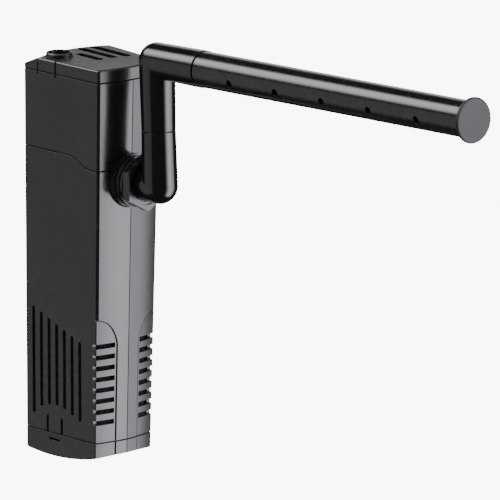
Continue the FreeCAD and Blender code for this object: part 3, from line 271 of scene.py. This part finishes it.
# ------------------------------------------------------------------ materials
def plastic(name, colour, rough, grain_scale=9000.0, grain=0.05, spread=0.05, wear=0.35, wave=0.0, coat=0.0, side_rough=None, top_rough=None, ior=1.5,
            metal=0.0, lines=None, soften=0.00018, spec=0.5, recess=0.0):
    """Moulded plastic: fine grain, faint flow marks, paler worn edges and uneven polish."""
    mat = bpy.data.materials.new(name)
    mat.use_nodes = True
    t = Tree(mat.node_tree)
    b = t.add("ShaderNodeBsdfPrincipled")
    o = t.add("ShaderNodeOutputMaterial")
    t.link(b.outputs[0], o.inputs["Surface"])
    pos = t.add("ShaderNodeTexCoord").outputs["Object"]
    geo = t.add("ShaderNodeNewGeometry")
    fine = t.noise(pos, grain_scale, 2.0, 0.6)
    cloud = t.noise(pos, 55.0, 4.0, 0.6)
    specks = t.noise(pos, 2600.0, 3.0, 0.7)
    edge = t.smooth(geo.outputs["Pointiness"], 0.53, 0.60)
    worn = t.math("MULTIPLY", edge, t.smooth(t.noise(pos, 420.0, 4.0, 0.7), 0.42, 0.68), clamp=True)
    worn = t.math("MULTIPLY", worn, wear)
    dark = tuple(c * 0.75 for c in colour)
    light = tuple(min(1.0, c * 1.25 + 0.0005) for c in colour)
    pale_c = tuple(min(1.0, c * 2.2 + 0.012) for c in colour)
    base = t.mix(cloud, dark, light)
    base = t.mix(worn, base, pale_c)
    t.link(base, b.inputs["Base Color"])
    r0 = rough
    if side_rough is not None or top_rough is not None:
        # the moulding's flanks and top carry a finer or coarser texture than its polished front
        sep = t.add("ShaderNodeSeparateXYZ")
        t.link(geo.outputs["True Normal"], sep.inputs[0])
        val = None
        if side_rough is not None:
            ax = t.smooth(t.math("ABSOLUTE", sep.outputs[0]), 0.90, 0.97)
            val = t.math("MULTIPLY_ADD", ax, side_rough - rough, rough)
        if top_rough is not None:
            az = t.smooth(sep.outputs[2], 0.75, 0.9)
            val = t.math("MULTIPLY_ADD", az, t.math("SUBTRACT", top_rough, val if val is not None else rough), val if val is not None else rough)
        r0 = val
    r = t.math("MULTIPLY_ADD", t.math("SUBTRACT", cloud, 0.5), spread * 2.0, r0)
    r = t.math("MULTIPLY_ADD", t.math("SUBTRACT", specks, 0.5), spread, r)
    r = t.math("MULTIPLY_ADD", worn, 0.25, r)
    if recess:
        # mould texture and deposit stay duller inside slots and seams
        ao = t.add("ShaderNodeAmbientOcclusion", samples=6)
        ao.inputs["Distance"].default_value = 0.003
        shut = t.smooth(ao.outputs["AO"], 0.25, 0.62, 1.0, 0.0)
        r = t.math("MULTIPLY_ADD", shut, recess, r, clamp=True)
    t.link(r, b.inputs["Roughness"])
    edge_n = t.add("ShaderNodeBevel", samples=4)
    edge_n.inputs["Radius"].default_value = soften
    n = t.bump(fine, grain, 0.00002, edge_n.outputs[0])
    if lines is not None:
        # a stack of wires or sheets along one axis, at the given pitch
        axis, pitch, depth = lines
        sep2 = t.add("ShaderNodeSeparateXYZ")
        t.link(pos, sep2.inputs[0])
        ridge = t.math("SINE", t.math("MULTIPLY", sep2.outputs[axis], 2.0 * math.pi / pitch))
        n = t.bump(ridge, 1.0, depth, n)
    if wave:
        n = t.bump(t.noise(pos, 34.0, 1.0, 0.4), wave, 0.0006, n)
    t.link(n, b.inputs["Normal"])
    b.inputs["IOR"].default_value = ior
    b.inputs["Metallic"].default_value = metal
    b.inputs["Specular IOR Level"].default_value = spec
    if coat:
        b.inputs["Coat Weight"].default_value = coat
        b.inputs["Coat Roughness"].default_value = 0.06
    return mat


K = (0.0025, 0.0025, 0.0028)
mats = {
    "casing": plastic("casing_black", K, 0.19, grain=0.10, spread=0.04, side_rough=0.30, top_rough=0.42, recess=0.55),
    "lid": plastic("lid_black", K, 0.26, grain_scale=5200.0, grain=0.2, spread=0.06, side_rough=0.29, top_rough=0.45, recess=0.5),
    "pipe": plastic("pipe_black", K, 0.13, grain=0.04, spread=0.03, wave=0.0),
    "cap_face": plastic("end_cap_black", K, 0.52, grain_scale=4200.0, grain=0.5, spread=0.05, spec=0.38),
    "ring": plastic("fitting_black", K, 0.22, grain=0.08, spread=0.05),
    "rubber": plastic("rubber_black", (0.012, 0.012, 0.012), 0.55, grain_scale=6000.0, grain=0.3, spread=0.08),
    "white": plastic("white_plastic", (0.72, 0.72, 0.69), 0.32, grain=0.08, spread=0.05, wear=0.1),
    "ceramic": plastic("ceramic_white", (0.80, 0.79, 0.75), 0.2, grain=0.05, spread=0.04, wear=0.05),
    "resin": plastic("potting_resin", (0.006, 0.006, 0.007), 0.45, grain=0.05, spread=0.08, spec=0.25),
    "copper": plastic("copper_winding", (0.62, 0.25, 0.10), 0.32, spread=0.06, metal=1.0, lines=(0, 0.00032, 0.00006), soften=0.0001),
    "steel": plastic("stator_steel", (0.40, 0.40, 0.41), 0.38, spread=0.08, metal=1.0, lines=(2, 0.0005, 0.00005), soften=0.00005),
    "strainer": plastic("strainer_black", K, 0.30, grain=0.10, spread=0.06, spec=0.4),
    "ferrite": plastic("ferrite", (0.05, 0.05, 0.052), 0.45, grain_scale=3000.0, grain=0.4, spread=0.08),
}
use = {
    "top_cover": "lid", "pump_head": "casing", "canister": "casing", "bottom_cap": "casing", "strainer_tube": "strainer",
    "flow_knob": "lid", "valve_spindle": "white", "inlet_shutter": "white", "stator_laminations": "steel", "coil_bobbin": "white",
    "coil_winding": "copper", "potting_resin": "resin", "rotor_magnet": "ferrite", "impeller": "white", "impeller_shaft": "ceramic",
    "rear_shaft_bush": "rubber", "front_shaft_bush": "rubber", "impeller_cover": "ring", "cover_o_ring": "rubber",
    "cable_gland": "rubber", "upper_suction_cup": "rubber", "lower_suction_cup": "rubber", "outlet_seal": "rubber",
    "outlet_collar": "ring", "outlet_nut": "ring", "lower_elbow": "pipe", "upper_elbow": "pipe", "spray_bar": "pipe",
    "bar_end_cap": "cap_face", "filter_sponge": "rubber",
}
for name, key_name in use.items():
    o = nodes[name]
    o.data.materials.clear()
    o.data.materials.append(mats[key_name])


# ------------------------------------------------------------------ filter foam
def foam_block(step):
    """Open-cell foam cartridge: a tapered block with soft corners, a bore for the strainer, and pitted faces."""
    z_low, z_high, bore = 11.4, 104.8, 6.2

    def outline(z):
        k = (178.0 - z) / 178.0
        hf, hr = 15.7 - 1.9 * k, 19.2 - 1.9 * k
        fy, ry, pk = 2.9 * k - 21.4, 21.4, 2.4
        pts = []
        corner = 1.6
        raw = [(-hf, fy), (hf, fy), (hr, ry), (-hr, ry)]
        count = 4
        for c in range(4):
            p0, p1, p2 = Vector(raw[c - 1]), Vector(raw[c]), Vector(raw[(c + 1) % 4])
            a, b = (p0 - p1).normalized(), (p2 - p1).normalized()
            start, end = p1 + a * corner, p1 + b * corner
            for q in range(count + 1):
                u = q / count
                pts.append(start * (1 - u) ** 2 + p1 * 2 * u * (1 - u) + end * u ** 2)
            side_len = (p2 - p1).length - 2 * corner
            n = max(2, int(round(side_len / step)))
            nxt = p2 - b * corner
            for q in range(1, n):
                u = q / n
                pts.append(end * (1 - u) + nxt * u)
        out = []
        for v in pts:
            y = v.y
            if y < fy + 1.0:
                y -= pk * max(0.0, 1.0 - (v.x / hf) ** 2)
            out.append(Vector((v.x, y)))
        return out

    ref = outline(60.0)
    n = len(ref)
    verts, faces = [], []
    rows = int(round((z_high - z_low) / step))
    index = []
    for j in range(rows + 1):
        z = z_low + (z_high - z_low) * j / rows
        ring = outline(z)
        if len(ring) != n:
            # keep the same number of points on every level
            ring = [Vector((p.x * (1 - 0.0), p.y)) for p in ref]
        row = []
        for p in ring:
            row.append(len(verts))
            verts.append(Vector((p.x, p.y, z)))
        index.append(row)
    for j in range(rows):
        for i in range(n):
            faces.append((index[j][i], index[j][(i + 1) % n], index[j + 1][(i + 1) % n], index[j + 1][i]))
    walls = int(round((z_high - z_low) / (step * 2)))
    for end, z in ((0, z_low), (1, z_high)):
        outer = index[0] if end == 0 else index[-1]
        prev = outer
        inner_steps = max(4, int(16 / step))
        for q in range(1, inner_steps + 1):
            u = q / inner_steps
            row = []
            for i in range(n):
                p = verts[outer[i]]
                r = math.hypot(p.x, p.y)
                k = (1 - u) + u * bore / r
                row.append(len(verts))
                verts.append(Vector((p.x * k, p.y * k, z)))
            for i in range(n):
                f = (prev[i], prev[(i + 1) % n], row[(i + 1) % n], row[i])
                faces.append(f if end == 1 else f[::-1])
            prev = row
        if end == 0:
            bottom = prev
        else:
            top = prev
    prev = bottom
    for j in range(1, walls + 1):
        if j == walls:
            row = top
        else:
            row = []
            for i in range(n):
                p = verts[bottom[i]]
                row.append(len(verts))
                verts.append(Vector((p.x, p.y, z_low + (z_high - z_low) * j / walls)))
        for i in range(n):
            faces.append((prev[i], row[i], row[(i + 1) % n], prev[(i + 1) % n]))
        prev = row
    me = bpy.data.meshes.new("filter_foam")
    me.from_pydata([(OFFSET + v) / 1000.0 for v in verts], [], faces)
    me.update()
    # pits of open cells, cut inwards along the normals
    normals = [v.normal.copy() for v in me.vertices]
    for v, src, nn in zip(me.vertices, verts, normals):
        d = noise.voronoi(src / 1.5)[0][0]
        fine = noise.noise(src * 1.7)
        pit = 0.75 * max(0.0, 1.0 - d * 1.9) + 0.10 * (0.5 + 0.5 * fine)
        v.co -= nn * pit / 1000.0
    for poly in me.polygons:
        poly.use_smooth = True
    me.update()
    return bpy.data.objects.new("filter_foam", me)


foam = foam_block(0.75)
scene.collection.objects.link(foam)
foam_mat = bpy.data.materials.new("filter_foam")
foam_mat.use_nodes = True
t = Tree(foam_mat.node_tree)
fbs = t.add("ShaderNodeBsdfPrincipled")
fout = t.add("ShaderNodeOutputMaterial")
t.link(fbs.outputs[0], fout.inputs["Surface"])
fpos = t.add("ShaderNodeTexCoord").outputs["Object"]
cells = t.add("ShaderNodeTexVoronoi", feature="F1")
t.link(fpos, cells.inputs["Vector"])
cells.inputs["Scale"].default_value = 1150.0
small = t.noise(fpos, 3200.0, 3.0, 0.6)
t.link(t.ramp(cells.outputs["Distance"], [(0.12, (0.0008, 0.0008, 0.0009)), (0.55, (0.0085, 0.0085, 0.0090)), (0.85, (0.015, 0.015, 0.016))]), fbs.inputs["Base Color"])
t.link(t.math("MULTIPLY_ADD", small, 0.2, 0.75), fbs.inputs["Roughness"])
fbs.inputs["Specular IOR Level"].default_value = 0.12
fbs.inputs["Sheen Weight"].default_value = 0.05
t.link(t.bump(small, 0.5, 0.0001, t.bump(cells.outputs["Distance"], 1.0, 0.0004)), fbs.inputs["Normal"])
foam.data.materials.append(foam_mat)
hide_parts("filter_sponge")
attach(foam, "media_canister")
